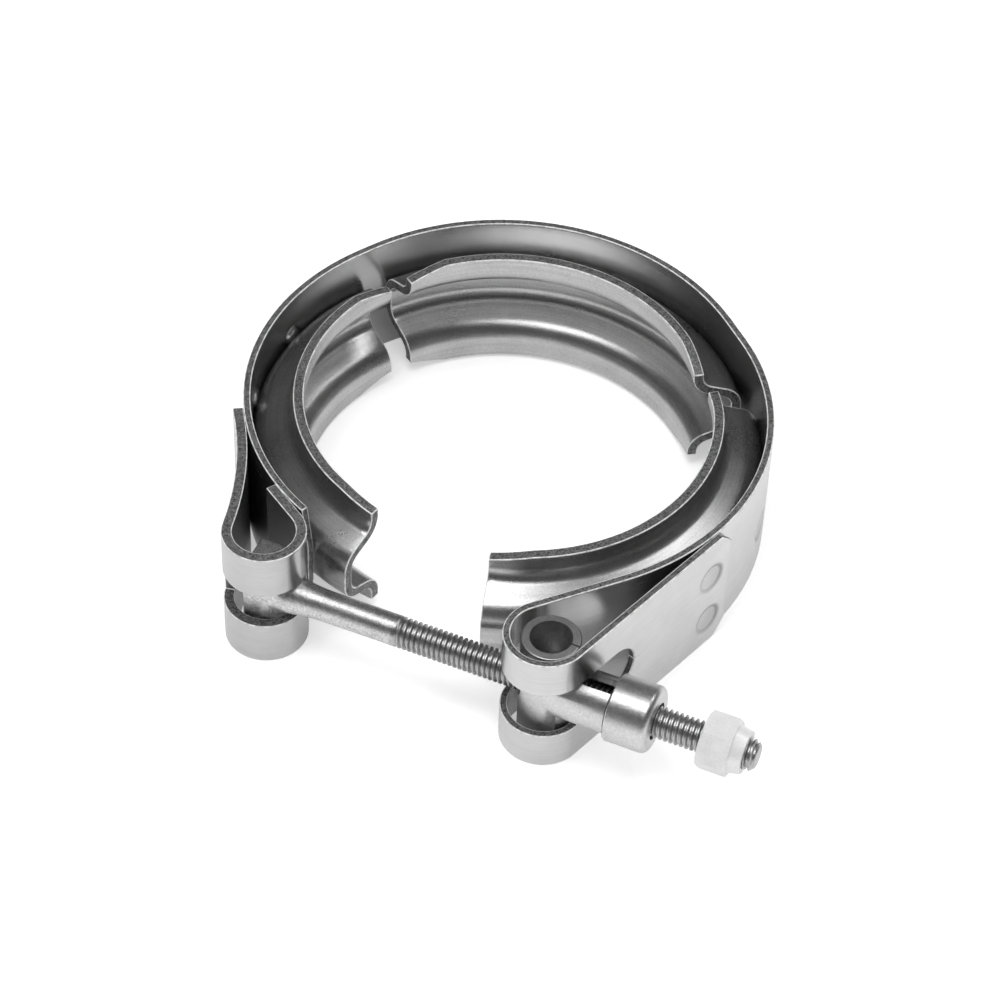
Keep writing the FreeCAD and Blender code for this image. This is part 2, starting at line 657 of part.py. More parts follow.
os.makedirs("parts", exist_ok=True)
for item in BODIES:
    item.Shape.exportStep(os.path.join("parts", f"{item.Label}.step"))
    box = item.Shape.optimalBoundingBox(False)
    print(f"{item.Label}: {item.Shape.Volume:.1f} mm3, z {box.ZMin:.2f} to {box.ZMax:.2f}")
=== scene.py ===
import json
import math

import bmesh
import bpy
from bpy.props import FloatProperty, FloatVectorProperty, PointerProperty
from mathutils import Matrix, Vector


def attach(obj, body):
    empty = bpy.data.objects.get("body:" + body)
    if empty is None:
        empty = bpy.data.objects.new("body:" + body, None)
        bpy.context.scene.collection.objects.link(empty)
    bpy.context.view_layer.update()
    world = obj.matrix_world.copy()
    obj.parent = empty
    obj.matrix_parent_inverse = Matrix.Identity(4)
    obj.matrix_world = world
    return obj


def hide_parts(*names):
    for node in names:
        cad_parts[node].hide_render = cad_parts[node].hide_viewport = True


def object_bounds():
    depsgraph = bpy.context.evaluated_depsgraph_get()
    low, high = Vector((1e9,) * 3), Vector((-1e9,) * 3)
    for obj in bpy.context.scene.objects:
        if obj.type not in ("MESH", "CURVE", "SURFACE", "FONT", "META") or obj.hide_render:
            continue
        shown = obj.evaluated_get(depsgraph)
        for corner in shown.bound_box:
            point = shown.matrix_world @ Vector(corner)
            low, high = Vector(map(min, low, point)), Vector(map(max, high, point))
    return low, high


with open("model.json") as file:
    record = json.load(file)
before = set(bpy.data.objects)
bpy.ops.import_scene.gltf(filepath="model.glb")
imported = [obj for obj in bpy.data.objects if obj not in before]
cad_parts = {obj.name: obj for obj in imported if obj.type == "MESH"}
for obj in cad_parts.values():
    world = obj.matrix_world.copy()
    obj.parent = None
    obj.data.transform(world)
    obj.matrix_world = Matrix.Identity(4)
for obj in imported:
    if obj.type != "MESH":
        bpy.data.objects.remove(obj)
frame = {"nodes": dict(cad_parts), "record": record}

bl_info = {
    "name": "V-Band Clamp",
    "version": (1, 0, 0),
    "blender": (4, 5, 0),
    "location": "3D View > Sidebar > Clamp",
    "description": "Dresses a packed V-band clamp: strips, retainers, T-bolt, trunnion and nut",
    "category": "Object",
}

CAD_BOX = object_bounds()
JOINTS = {joint["name"]: joint for joint in frame["record"]["behaviour"]["joints"]}
HEAD_AXIS = Vector(JOINTS["bolt_pivot"]["pos_m"])
TRUNNION_AXIS = Vector(JOINTS["trunnion_pivot"]["pos_m"])
MM = 0.001
WHITE = (1.0, 1.0, 1.0, 1.0)

# Turns sharper than this stay sharp in the shading of a piece
SHARP_TURN = math.radians(48.0)

# The zones of a spot weld, in shares of its radius: the ends of its pan, wall and raised ring
WELD_PAN, WELD_WALL, WELD_REACH = 0.75, 1.05, 1.3


# ---- sizes and colours


def length(name, text, mm):
    return FloatProperty(name=name, description=text, default=mm * MM, unit="LENGTH",
                         subtype="DISTANCE", precision=5)


def angle(name, text, degrees):
    return FloatProperty(name=name, description=text, default=math.radians(degrees),
                         unit="ROTATION", subtype="ANGLE")


def amount(name, text, value):
    return FloatProperty(name=name, description=text, default=value, min=0.0, precision=3)


def grey(name, text, value):
    return FloatVectorProperty(name=name, description=text, default=(value, value, value), size=3,
                               min=0.0, max=1.0, subtype="COLOR")


def spot(name, text, *mm):
    return FloatVectorProperty(name=name, description=text, default=[part * MM for part in mm],
                               size=3, unit="LENGTH", subtype="TRANSLATION", precision=5)


class BandSizes(bpy.types.PropertyGroup):
    radius: length("Radius", "Outer radius of the band's arcs", 47.7)
    sheet: length("Sheet", "Thickness of the strip", 1.4)
    width: length("Width", "Height of the strip along the pipe axis", 27.0)
    right_joint: angle("Right joint", "Where the rear arc passes into the right flat", 48.4)
    right_flat: length("Right flat", "Straight run between the rear and right arcs", 6.0)
    left_joint: angle("Left joint", "Where the rear arc passes into the left flat", 148.0)
    left_flat: length("Left flat", "Straight run between the rear and left arcs", 2.85)
    free_end: angle("Free end", "Where the strip ends behind the bolt strap", 247.7)
    end_cut: length("End cut", "Cut corners of the free end, along the strip", 1.5)
    end_cut_height: length("End cut height", "Cut corners of the free end, across it", 9.0)
    loop_inside: length("Loop inside", "Inner radius of the folded loop", 6.5)
    shift_along: length("Shift along", "Loop bend behind the trunnion, along the bolt", 0.75)
    shift_across: length("Shift across", "Loop bend beyond the trunnion, across the bolt", 0.3)
    lap: angle("Lap", "Angle over which the folded leg lies on the ring", 3.7)
    lap_gap: length("Lap gap", "Between the folded leg and the ring", 0.1)
    corner: length("Corner", "Cut corners of the folded leg's end", 3.2)
    slot_height: length("Slot height", "Slot through the loop", 11.0)
    slot_reach: length("Slot reach", "Slot along the outer leg, to its round end", 15.6)
    slot_back: length("Slot back", "Slot along the inner leg, to its round end", 3.0)
    weld_radius: length("Weld radius", "Radius of a spot weld's dimple", 3.1)
    weld_depth: length("Weld depth", "Depth of a spot weld's dimple", 0.3)
    bump_radius: length("Bump radius", "Radius of a weld's bump inside the band", 2.2)
    bump_height: length("Bump height", "Height of a weld's bump inside the band", 0.6)
    # Painted shade: the share by which the inside of the ring is darkened
    painted_inside_shade: amount("Dull inside", "How much duller the inside of the ring is", 0.42)


class StrapSizes(bpy.types.PropertyGroup):
    sheet: length("Sheet", "Thickness of the strap", 2.0)
    inside: length("Inside", "Inner radius of the strap's bend", 5.8)
    shift_along: length("Shift along", "Strap bend behind the head's axis, along the bolt", 1.25)
    shift_across: length("Shift across", "Strap bend beyond the head's axis, to the ring", 0.9)
    free_end: angle("Free end", "Where the strap's long leg ends on the ring", 209.0)
    leave: angle("Leave", "Where the long leg leaves the ring", 213.5)
    short_lap: angle("Short lap", "Angle over which the short leg lies on the ring", 1.2)
    end_cut: length("End cut", "Cut corners of the long leg, along the strip", 4.5)
    end_cut_height: length("End cut height", "Cut corners of the long leg, across it", 1.2)
    slot_height: length("Slot height", "Slot through the bend", 8.1)
    slot_start: angle("Slot start", "Where the slot starts about the bend", 186.0)
    slot_end: angle("Slot end", "Where the slot ends about the bend", 400.0)
    darkening: amount("Dull", "How much duller the strap is than the band's strip", 0.22)


class RetainerSizes(bpy.types.PropertyGroup):
    sheet: length("Sheet", "Thickness of the retainers", 2.0)
    height: length("Height", "Height of the retainers", 25.6)
    depth: length("Depth", "From the middle of the lip to the middle of the crown", 8.0)
    corner: length("Corner", "Height of the corner between lip and cone", 7.3)
    slope: angle("Slope", "Each side of the V against the middle plane", 20.0)
    bend: length("Bend", "Inside radius of the bends", 2.8)
    taper: length("Taper", "Drop of the lips at a rear end", 2.0)
    taper_front: length("Front taper", "Drop of the lips at a front end", 1.2)
    taper_run: length("Taper run", "Length of the drop along the lip", 8.0)


class BoltSizes(bpy.types.PropertyGroup):
    head_width: length("Head width", "Head across the bolt, and the diameter of its nose", 8.4)
    head_back: length("Head back", "From the head's axis to its flat back", 3.45)
    head_height: length("Head height", "Head along the pipe axis", 15.0)
    head_round: length("Head round", "Rounded edges of the head", 0.35)
    shank: length("Shank", "Diameter of the shank and of the thread's crests", 5.9)
    neck: length("Neck", "Diameter where the shank joins the head", 7.8)
    flare: length("Flare", "From the head's axis to the end of the flare", 12.0)
    thread_start: length("Thread start", "From the head's axis to the first thread", 26.1)
    tip: length("Tip", "From the head's axis to the tip", 95.95)
    tip_bevel: length("Tip bevel", "Bevel at the tip", 0.8)
    pitch: length("Pitch", "Pitch of the thread", 1.0)
    thread_depth: length("Thread depth", "From crest to root", 0.55)


class TrunnionSizes(bpy.types.PropertyGroup):
    barrel: length("Barrel", "Outer diameter of the cross barrel", 10.94)
    barrel_bore: length("Barrel bore", "Inner diameter of the cross barrel", 7.8)
    barrel_height: length("Barrel height", "Cross barrel along the pipe axis", 25.2)
    barrel_bevel: length("Barrel bevel", "Bevel of the barrel's rims", 0.3)
    entry: length("Entry", "Hole where the bolt enters the barrel", 7.6)
    sleeve: length("Sleeve", "Outer diameter of the sleeve", 10.5)
    sleeve_bore: length("Sleeve bore", "Inner diameter of the sleeve", 7.3)
    sleeve_length: length("Sleeve length", "From the barrel's axis to the collar", 12.75)
    slot: length("Slot", "Width of the open slot along the sleeve", 3.4)
    collar: length("Collar", "Outer diameter of the collar", 12.65)
    collar_length: length("Collar length", "Length of the collar", 8.2)
    collar_bore: length("Collar bore", "Hole through the collar", 7.0)
    collar_round: length("Collar round", "Radius of the collar's rounded rim", 1.3)
    seam: length("Seam", "Seam of the barrel and slit beside the collar", 0.3)
    slit: length("Slit", "Depth of the slit beside the collar", 4.0)


class SteelLook(bpy.types.PropertyGroup):
    strip: grey("Strip", "Bright annealed strip of the band and the strap", 0.70)
    retainer: grey("Retainer", "Pressed sheet of the retainers", 0.62)
    cut_edge: grey("Cut edge", "Sheared edges of the sheet", 0.18)
    # Painted highlight along the rounded corners of the sheet
    edge_highlight: grey("Burr", "Rubbed corners of the sheet", 0.97)
    bolt: grey("Bolt", "Head and shank of the bolt", 0.68)
    thread: grey("Thread", "Rolled thread", 0.52)
    trunnion: grey("Trunnion", "Trunnion", 0.7)
    nut: grey("Nut", "Plated nut", 0.97)
    strip_gloss: amount("Strip roughness", "Roughness of the strip", 0.24)
    retainer_gloss: amount("Retainer roughness", "Roughness of the retainers", 0.29)
    bolt_gloss: amount("Bolt roughness", "Roughness of bolt and trunnion", 0.31)
    nut_gloss: amount("Nut roughness", "Roughness of the nut", 0.38)
    bolt_mottle: amount("Bolt mottle", "How cloudy the head and the shank are", 0.36)
    thread_mottle: amount("Thread mottle", "How cloudy the thread is", 0.30)
    trunnion_mottle: amount("Trunnion mottle", "How cloudy the trunnion is", 0.17)


class StageLook(bpy.types.PropertyGroup):
    floor: grey("Floor", "Pale floor", 0.90)
    floor_glow: amount("Floor glow", "What the camera sees beyond the floor's light", 0.45)
    gloss_glow: amount("Gloss glow", "What gloss and glass see beyond the floor's light", 0.15)
    sky: amount("Sky", "Level of the plain light all round", 0.66)
    key: amount("Key", "Power of the large lamp above the front left, in watts", 2.9)
    key_size: length("Key size", "Side of the large lamp", 500.0)
    key_place: spot("Key place", "Where the large lamp hangs", -120.0, -170.0, 930.0)
    fill: amount("Fill", "Power of the small lamp above the right behind, in watts", 0.9)
    fill_size: length("Fill size", "Side of the small lamp", 260.0)
    fill_place: spot("Fill place", "Where the small lamp hangs", 270.0, 420.0, 820.0)
    aim: spot("Aim", "Point that the camera aims at", 2.40, -7.78, -9.31)
    azimuth: angle("Azimuth", "Viewing angle round the pipe axis", 22.04)
    elevation: angle("Elevation", "Viewing angle above the floor", 46.09)
    roll: angle("Roll", "Turn of the camera about its own axis", 2.28)
    distance: length("Distance", "From the camera to the point that it aims at", 640.0)
    lens: amount("Lens", "Focal length on a 36 mm sensor, in millimetres", 119.59)


GROUPS = {
    "clamp_band": BandSizes,
    "clamp_strap": StrapSizes,
    "clamp_retainers": RetainerSizes,
    "clamp_bolt": BoltSizes,
    "clamp_trunnion": TrunnionSizes,
    "clamp_steel": SteelLook,
    "clamp_stage": StageLook,
}


# ---- shader graphs


class Wire:
    """An output in a node tree. Sums, differences and products of wires add Math nodes."""

    def __init__(self, graph, socket):
        self.graph, self.socket = graph, socket

    def __add__(self, other):
        return self.graph.math("ADD", self, other)

    __radd__ = __add__

    def __sub__(self, other):
        return self.graph.math("SUBTRACT", self, other)

    def __rsub__(self, other):
        return self.graph.math("SUBTRACT", other, self)

    def __mul__(self, other):
        return self.graph.math("MULTIPLY", self, other)

    __rmul__ = __mul__


class Graph:
    """The nodes of one material or world."""

    def __init__(self, owner):
        self.owner = owner
        owner.use_nodes = True
        self.tree = owner.node_tree
        self.tree.nodes.clear()

    def node(self, kind, out=0, settings=None, **sockets):
        """Adds a node: its settings first, then its sockets by name, _ for a space."""
        made = self.tree.nodes.new("ShaderNode" + kind)
        for key, value in (settings or {}).items():
            if key == "stops":
                self.set_stops(made.color_ramp, value)
            else:
                setattr(made, key, value)
        for key, value in sockets.items():
            socket = self.find(made.inputs, key)
            if isinstance(value, Wire):
                self.tree.links.new(value.socket, socket)
            else:
                socket.default_value = value
        if not made.outputs:
            return made
        return Wire(self, self.find(made.outputs, out))

    def find(self, sockets, key):
        """A socket by place, as 6 or at_6, or by name: the first such one in use."""
        if isinstance(key, int):
            return sockets[key]
        if key.startswith("at_"):
            return sockets[int(key[3:])]
        return [one for one in sockets if one.name == key.replace("_", " ") and one.enabled][0]

    def set_stops(self, ramp, stops):
        for place, level in stops[2:]:
            ramp.elements.new(place)
        for element, (place, level) in zip(ramp.elements, stops):
            element.position = place
            element.color = (level, level, level, 1.0)

    def math(self, operation, first, second):
        return self.node("Math", 0, {"operation": operation}, at_0=first, at_1=second)

    def scaled(self, vector, factors):
        """A vector times three factors."""
        return self.node("VectorMath", 0, {"operation": "MULTIPLY"}, at_0=vector, at_1=factors)

    def noise(self, vector, scale, detail=3.0, roughness=0.5):
        return self.node("TexNoise", "Fac", None, Vector=vector, Scale=scale, Detail=detail,
                         Roughness=roughness)

    def ramp(self, value, *stops):
        return self.node("ValToRGB", "Color", {"stops": stops}, Fac=value)

    def tint(self, factor, first, second):
        """One colour passing into another."""
        return self.node("Mix", 2, {"data_type": "RGBA"}, at_0=factor, at_6=first, at_7=second)

    def clouded(self, level, noise, span, shares):
        """From one share of a colour to another, as a noise runs over a span."""
        mix = self.ramp(noise, (span[0], 0.0), (span[1], 1.0))
        return self.tint(mix, shade(level, shares[0]), shade(level, shares[1]))

    def finish(self, colour, roughness, bump=None, height=0.0, metal=1.0):
        """Feeds the colour, the roughness and the bump of a metal, and gives the material."""
        sockets = {"Base_Color": colour, "Roughness": roughness, "Metallic": metal}
        if bump is not None:
            sockets["Normal"] = self.node("Bump", "Normal", None, Strength=1.0, Distance=height,
                                          Height=bump)
        shader = self.node("BsdfPrincipled", "BSDF", None, **sockets)
        self.node("OutputMaterial", Surface=shader)
        return self.owner


def shade(level, share=1.0):
    """A colour, or a share of it, as a shader takes it."""
    return (*[part * share for part in level], 1.0)


def new_steel(name):
    """The graph of a new material, and the place on the piece that its noises follow."""
    graph = Graph(bpy.data.materials.new(name))
    return graph, graph.node("TexCoord", "Object")


def rolled_steel(name, level, gloss):
    """Bright rolled sheet: faint streaks along the strip, fine grain and rubbed patches.

    The attribute blank is the place on the flat sheet, and weld is how dark the steel is: heat
    stains and painted shade at the welds, painted shade inside the ring, and the strap's darker
    tone.
    """
    graph, place = new_steel(name)
    blank = graph.node("Attribute", "Vector", {"attribute_name": "blank"})
    streaks = graph.noise(graph.scaled(blank, (60.0, 2600.0, 900.0)), 1.0, 4.0, 0.6)
    lines = graph.noise(graph.scaled(blank, (14.0, 9000.0, 3000.0)), 1.0, 2.0)
    grain = graph.noise(place, 5200.0, 2.0)
    cloud = graph.noise(place, 95.0)
    mottle = graph.noise(place, 420.0)
    colour = graph.clouded(level, streaks * 0.45 + cloud * 0.35 + mottle * 0.2, (0.30, 0.70),
                           (0.86, 1.07))
    # Darkens the steel by the weld attribute: heat stains and painted shade at the welds, painted
    # shade inside the ring
    colour = graph.tint(graph.node("Attribute", "Fac", {"attribute_name": "weld"}), colour,
                        shade(level, 0.25))
    rough = gloss - 0.05 + streaks * 0.06 + cloud * 0.07
    return graph.finish(colour, rough, bump=lines * 0.5 + grain * 0.5, height=0.000008)


def pressed_steel(name, level, gloss):
    """Pressed sheet: an even fine grain, soft stains and faint drawing lines round the arc."""
    graph, place = new_steel(name)
    blank = graph.node("Attribute", "Vector", {"attribute_name": "blank"})
    lines = graph.noise(graph.scaled(blank, (40.0, 1900.0, 700.0)), 1.0)
    grain = graph.noise(place, 3000.0, 3.0, 0.6)
    cloud = graph.noise(place, 110.0, 4.0, 0.6)
    colour = graph.clouded(level, grain * 0.4 + cloud * 0.3 + lines * 0.3, (0.35, 0.65),
                           (0.72, 1.14))
    rough = gloss - 0.06 + cloud * 0.12
    return graph.finish(colour, rough, bump=grain * 0.8 + lines * 0.2, height=0.00004)


def sheared_edge(name, level):
    """The slit edge of the sheet: dull, dark and grainy across its thickness."""
    graph, place = new_steel(name)
    grain = graph.noise(place, 3300.0, 3.0, 0.7)
    tears = graph.noise(graph.scaled(place, (1700.0, 1700.0, 500.0)), 1.0)
    colour = graph.clouded(level, grain * 0.7 + tears * 0.3, (0.40, 0.60), (0.40, 1.9))
    return graph.finish(colour, 0.38 + grain * 0.2, bump=grain, height=0.00012, metal=0.7)


def rubbed_corner(name, level):
    """A painted highlight: a thin bright line along each rounded corner of a cut sheet."""
    graph, place = new_steel(name)
    nicks = graph.ramp(graph.noise(place, 900.0), (0.35, 0.0), (0.55, 1.0))
    colour = graph.tint(nicks, shade(level, 0.6), shade(level))
    return graph.finish(colour, 0.34 + nicks * 0.08, metal=0.2)


def grained_steel(name, level, gloss, mottle):
    """Forged or turned steel: a fine even grain under a cloudy oxide."""
    graph, place = new_steel(name)
    grain = graph.noise(place, 3400.0, 3.0, 0.6)
    cloud = graph.noise(place, 170.0, 4.0, 0.6)
    specks = graph.noise(place, 1500.0, 2.0)
    colour = graph.clouded(level, grain * 0.5 + cloud * 0.25 + specks * 0.25, (0.38, 0.62),
                           (1.0 - mottle, 1.0 + 0.65 * mottle))
    rough = gloss - 0.05 + cloud * 0.10 + specks * 0.08
    return graph.finish(colour, rough, bump=grain * 0.6 + specks * 0.4, height=0.0002 * mottle)


def plated_steel(name, level, gloss):
    """Pale satin plating with a soft sparkle."""
    graph, place = new_steel(name)
    cloud = graph.noise(place, 300.0)
    sparkle = graph.noise(place, 3000.0, 2.0)
    colour = graph.clouded(level, cloud * 0.6 + sparkle * 0.4, (0.35, 0.65), (0.86, 1.0))
    rough = gloss - 0.06 + sparkle * 0.14
    return graph.finish(colour, rough, bump=sparkle, height=0.00001, metal=0.22)


def steel(key, maker, *values):
    """A material by name, made once."""
    return bpy.data.materials.get(key) or maker(key, *values)


# The sheet, its cut edges, and the painted highlight on its rounded corners
def strip_steels(look):
    return [steel("rolled_steel", rolled_steel, look.strip, look.strip_gloss),
            steel("sheared_edge", sheared_edge, look.cut_edge),
            steel("rubbed_corner", rubbed_corner, look.edge_highlight)]


# ---- lines and sheets


def polar(centre, radius, turn):
    """The point at a radius and a polar angle about a centre."""
    return Vector((centre[0] + radius * math.cos(turn), centre[1] + radius * math.sin(turn)))


class Route:
    """A line in a plane through bends, with straight runs in between.

    A bend is (centre, radius, start angle, end angle). One without a radius is a plain end.
    """

    FINE_TURN = math.radians(5.0)
    FINE_RUN = 2.5 * MM
    LEAST_RUN = 0.02 * MM

    def __init__(self, bends):
        self.runs, self.bends, self.length = [], [], 0.0
        here = None
        for centre, radius, start, end in bends:
            first = polar(centre, radius, start)
            if here is not None and (first - here).length > 1e-8:
                self.add_run((first - here).length, self.straight(here, first), 0.0)
            begins = self.length
            if abs(end - start) > 1e-9 and radius > 0.0:
                turn = abs(end - start)
                self.add_run(radius * turn, self.arc(centre, radius, start, end), turn)
            self.bends.append((begins, self.length))
            here = polar(centre, radius, end)

    def add_run(self, run, place, turn):
        self.runs.append((self.length, self.length + run, place, turn))
        self.length += run

    def straight(self, start, end):
        along = (end - start).normalized()
        left = Vector((-along.y, along.x))
        return lambda share: (start.lerp(end, share), left)

    def arc(self, centre, radius, start, end):
        inward = -1.0 if end > start else 1.0

        def place(share):
            turn = start + (end - start) * share
            return polar(centre, radius, turn), polar((0.0, 0.0), inward, turn)

        return place

    def at(self, reach):
        """The point at a length along the line, and the direction to the left there."""
        for begins, ends, place, _ in self.runs:
            if reach <= ends + 1e-12:
                break
        return place(min(max((reach - begins) / (ends - begins), 0.0), 1.0))

    def nearest(self, point, start=0.0, count=4000):
        """The length along the line, from a start on, at which it comes nearest to a point."""
        steps = [start + (self.length - start) * step / count for step in range(count + 1)]
        return min(steps, key=lambda reach: (self.at(reach)[0] - point).length)

    def stations(self, extra=()):
        """Lengths along the line, close enough for smooth bends, with those that must be there."""
        must = {round(reach, 9) for reach in extra}
        found = {reach for reach in must if 0.0 <= reach <= self.length}
        for begins, ends, _, turn in self.runs:
            count = math.ceil(max(turn / self.FINE_TURN, (ends - begins) / self.FINE_RUN))
            found.update(round(begins + (ends - begins) * step / count, 9)
                         for step in range(count + 1))
        kept = []
        for reach in sorted(found):
            if kept and reach - kept[-1] < self.LEAST_RUN:
                if reach not in must:
                    continue
                kept.pop()
            kept.append(reach)
        return kept


def new_object(name, data):
    made = bpy.data.objects.new(name, data)
    bpy.context.scene.collection.objects.link(made)
    return made


def new_solid(name, bm, materials):
    """Turns a bmesh into an object with its materials."""
    mesh = bpy.data.meshes.new(name)
    bm.to_mesh(mesh)
    bm.free()
    for material in materials:
        mesh.materials.append(material)
    return new_object(name, mesh)


def new_piece(name, bm, materials, body, node):
    """Turns a bmesh into a piece that rides on a body and stands for a CAD node."""
    piece = new_solid(name, bm, materials)
    mesh = piece.data
    mesh.polygons.foreach_set("use_smooth", [True] * len(mesh.polygons))
    mesh.set_sharp_from_angle(angle=SHARP_TURN)
    keep = piece.modifiers.new("Even shading", "WEIGHTED_NORMAL")
    keep.keep_sharp = True
    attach(piece, body)
    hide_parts(node)


def round_corners(bm, width, segments=2, material=2, turn=50.0):
    """Rounds every edge of a closed mesh that turns by more than so many degrees."""
    bmesh.ops.recalc_face_normals(bm, faces=bm.faces)
    sharp = [edge for edge in bm.edges
             if edge.is_manifold and edge.calc_face_angle(0.0) > math.radians(turn)]
    bmesh.ops.bevel(bm, geom=sharp, offset=width, offset_type="OFFSET", segments=segments,
                    profile=0.5, affect="EDGES", clamp_overlap=False, material=material)


def sheet_mesh(columns, rows, place, is_open=None, twin_of=None):
    """A thick sheet over a grid: both sides, and walls wherever the sheet ends.

    place(column, row, side) gives a point, its place on the flat blank and how dark the steel
    is there, which the mesh keeps as blank and weld. is_open says which cells are left out, and
    twin_of merges one grid corner into another. Walls have material 1.
    """
    bm = bmesh.new()
    blank = bm.verts.layers.float_vector.new("blank")
    # How dark the steel is: heat stains, and painted shade at the welds and inside the band's ring
    weld = bm.verts.layers.float.new("weld")
    made = {}

    def corner(side, i, j):
        key = (side, *(twin_of(i, j) if twin_of else (i, j)))
        if key not in made:
            point, flat, mark = place(columns[key[1]], rows[key[2]], side)
            made[key] = bm.verts.new(point)
            made[key][blank] = flat
            made[key][weld] = mark
        return made[key]

    partner = {}
    for i in range(len(columns) - 1):
        for j in range(len(rows) - 1):
            if is_open and is_open(columns[i], columns[i + 1], j):
                continue
            cells = [(i, j), (i + 1, j), (i + 1, j + 1), (i, j + 1)]
            for side in (1, -1):
                ring = []
                for cell in cells[::side]:
                    vert = corner(side, *cell)
                    if vert not in ring:
                        ring.append(vert)
                if len(ring) > 2:
                    bm.faces.new(ring)
            for cell in cells:
                partner[corner(1, *cell)] = corner(-1, *cell)
    rims = [edge for edge in bm.edges if edge.is_boundary and edge.verts[0] in partner]
    for edge in rims:
        first, second = edge.verts
        wall = bm.faces.new((first, second, partner[second], partner[first]))
        wall.material_index = 1
    return bm


def strip_mesh(route, sheet, half, rows, slot, bridged=None, dents=(), marks=(), darkening=None):
    """A strip of sheet along a route, upright, with a slot and shaped ends.

    half(reach) is half its height and slot(reach) half its slot's height, with so many rows on
    each side of the slot. bridged says where the middle is whole though the slot has a height. A
    dent is (reach, height, side, radius, depth), and a mark is a length that gets a column.
    dull(reach, side) is how dark the steel is away from the dents.
    """
    fine = [reach + radius * step / 8.0 for reach, _, _, radius, _ in dents
            for step in range(-10, 11)]
    columns = route.stations([*marks, *fine])
    steps = [(-1, step / rows) for step in range(rows + 1)]
    steps += [(0, -0.5), (0, 0.0), (0, 0.5)] if bridged else []
    steps += [(1, step / rows) for step in range(rows + 1)]

    def height(reach, row):
        """Below the slot, in its middle or above it: part -1, 0 or 1, and a share of that."""
        part, share = row
        low, high = slot(reach), half(reach)
        if part == 0:
            return 2.0 * low * share * 0.9
        return -high + (high - low) * share if part < 0 else low + (high - low) * share

    def place(reach, row, side):
        point, left = route.at(reach)
        z = height(reach, row)
        push = side * sheet / 2.0
        # Darkening away from the dents: painted shade inside the band's ring, and the strap's
        # darker tone
        mark = darkening(reach, side) if darkening else 0.0
        for middle, level, dented, radius, depth in dents:
            far = math.hypot(reach - middle, z - level) / radius
            if side == dented and far < WELD_REACH:
                push -= side * depth * weld_profile(far)
                # Heat stain and painted shade round a weld, the painted shade heaviest on the side
                # further along the strip
                lean = (reach - middle) / (far * radius + MM)
                mark = max(mark, weld_stain_and_shade(far) * (0.65 + 0.35 * lean))
        face = point + left * push
        return Vector((face.x, face.y, z)), Vector((reach, z, side * sheet)), mark

    middle_rows = range(rows, len(steps) - rows - 1)

    def is_open(start, end, j):
        if j not in middle_rows:
            return False
        return not (bridged and bridged((start + end) / 2.0))

    def twin_of(i, j):
        if not bridged and j == rows + 1 and slot(columns[i]) < 1e-7:
            return i, rows
        return i, j

    return sheet_mesh(columns, steps, place, is_open, twin_of)


def weld_profile(far):
    """A weld's share of its depth, so far from its middle: a pan, a wall and a raised ring."""
    if far < WELD_PAN:
        return 1.0 - 0.2 * (far / WELD_PAN) ** 2
    if far < WELD_WALL:
        return 0.8 * (WELD_WALL - far) / (WELD_WALL - WELD_PAN)
    return -0.2 * math.sin(math.pi * (far - WELD_WALL) / (WELD_REACH - WELD_WALL))


def weld_stain_and_shade(far):
    """How dark a weld is: a little heat stain in its pan, and heat stain with painted shade,
    darkest along its wall.
    """
    pan, wall, spread = 0.30, 0.92, 0.24
    return max(pan if far < 0.7 else 0.0, 1.0 - abs(far - wall) / spread)


def cut_end(full, across, along, left):
    """Half the height of a strip whose corners are cut, at a length left before its end."""
    return full if left >= along else full - across * (1.0 - left / along)


# ---- where the arcs lie


def bearing(start, end):
    """Distance and polar angle from one point to another."""
    way = end - start
    return way.length, math.atan2(way.y, way.x)


def arc_centres(band):
    """Centres of the rear, right and left arcs of the band."""
    rear = Vector((0.0, 0.0))
    right = polar(rear, band.right_flat, band.right_joint - math.pi / 2.0)
    left = polar(rear, band.left_flat, band.left_joint + math.pi / 2.0)
    return rear, right, left


# ---- the strips


